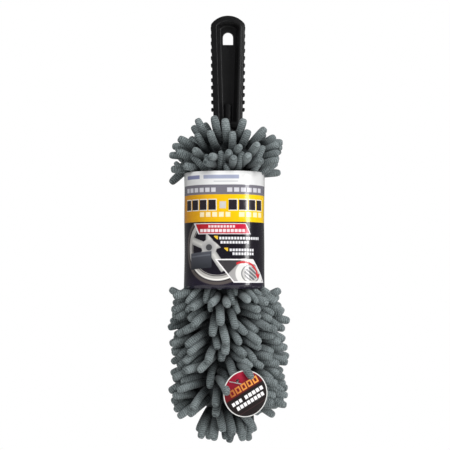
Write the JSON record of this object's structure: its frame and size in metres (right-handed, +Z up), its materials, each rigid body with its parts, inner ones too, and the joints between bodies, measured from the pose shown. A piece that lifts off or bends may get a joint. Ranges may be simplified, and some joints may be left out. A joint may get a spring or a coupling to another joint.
{
  "type": "wheel brush",
  "caption": "Bendable wheel-cleaning brush: moulded grip with a hanging slot, wire core in a foam slab, chenille noodle sleeve, card band and round tag.",
  "frame": {"origin": "centre of the hanging slot, in the middle of the handle's web", "axes": "+Z up the brush to the handle's crown, +Y to the brush's back, so the printed front faces -Y, +X to the right of the printed front"},
  "size_m": [0.1156, 0.0878, 0.4125],
  "materials": {
    "handle_plastic": "satin black polypropylene",
    "chenille": "grey-green chenille microfibre",
    "backing_cloth": "knitted polyester backing",
    "foam": "cream open-cell polyurethane foam",
    "elastic": "covered elastic cord",
    "steel": "galvanised",
    "cap_plastic": "natural polyethylene",
    "band_card": "glossy printed card",
    "tag_card": "glossy printed card",
    "fastener_nylon": "clear nylon"
  },
  "bodies": {
    "handle": {"handle": "handle_plastic", "socket_pin": "steel", "sleeve_hem": "backing_cloth", "hem_elastic": "elastic", "core_wire_1": "steel", "foam_slab_1": "foam", "front_backing_1": "backing_cloth", "back_backing_1": "backing_cloth", "front_noodles_1": "chenille", "back_noodles_1": "chenille"},
    "banded_section": {"card_band": "band_card", "core_wire_2": "steel", "foam_slab_2": "foam", "front_backing_2": "backing_cloth", "back_backing_2": "backing_cloth", "front_noodles_2": "chenille", "back_noodles_2": "chenille", "front_noodles_3": "chenille", "back_noodles_3": "chenille", "front_noodles_4": "chenille", "back_noodles_4": "chenille"},
    "upper_bend_section": {"core_wire_3": "steel", "foam_slab_3": "foam", "front_backing_3": "backing_cloth", "back_backing_3": "backing_cloth", "front_noodles_5": "chenille", "back_noodles_5": "chenille"},
    "middle_bend_section": {"core_wire_4": "steel", "foam_slab_4": "foam", "front_backing_4": "backing_cloth", "back_backing_4": "backing_cloth", "front_noodles_6": "chenille", "back_noodles_6": "chenille"},
    "tip_section": {"wire_tip_cap": "cap_plastic", "round_tag": "tag_card", "tag_fastener": "fastener_nylon", "core_wire_5": "steel", "foam_slab_5": "foam", "front_backing_5": "backing_cloth", "back_backing_5": "backing_cloth", "front_noodles_7": "chenille", "back_noodles_7": "chenille"}
  },
  "joints": [
    {"name": "neck_bend", "type": "hinge", "parent": "handle", "child": "banded_section", "pos_m": [0, 0, -0.1151], "axis": [1, 0, 0], "range_deg": [-20, 20]},
    {"name": "upper_bend", "type": "hinge", "parent": "banded_section", "child": "upper_bend_section", "pos_m": [0, 0, -0.2611], "axis": [1, 0, 0], "range_deg": [-25, 25]},
    {"name": "middle_bend", "type": "hinge", "parent": "upper_bend_section", "child": "middle_bend_section", "pos_m": [0, 0, -0.2871], "axis": [1, 0, 0], "range_deg": [-25, 25]},
    {"name": "lower_bend", "type": "hinge", "parent": "middle_bend_section", "child": "tip_section", "pos_m": [0, 0, -0.3131], "axis": [1, 0, 0], "range_deg": [-25, 25]}
  ]
}
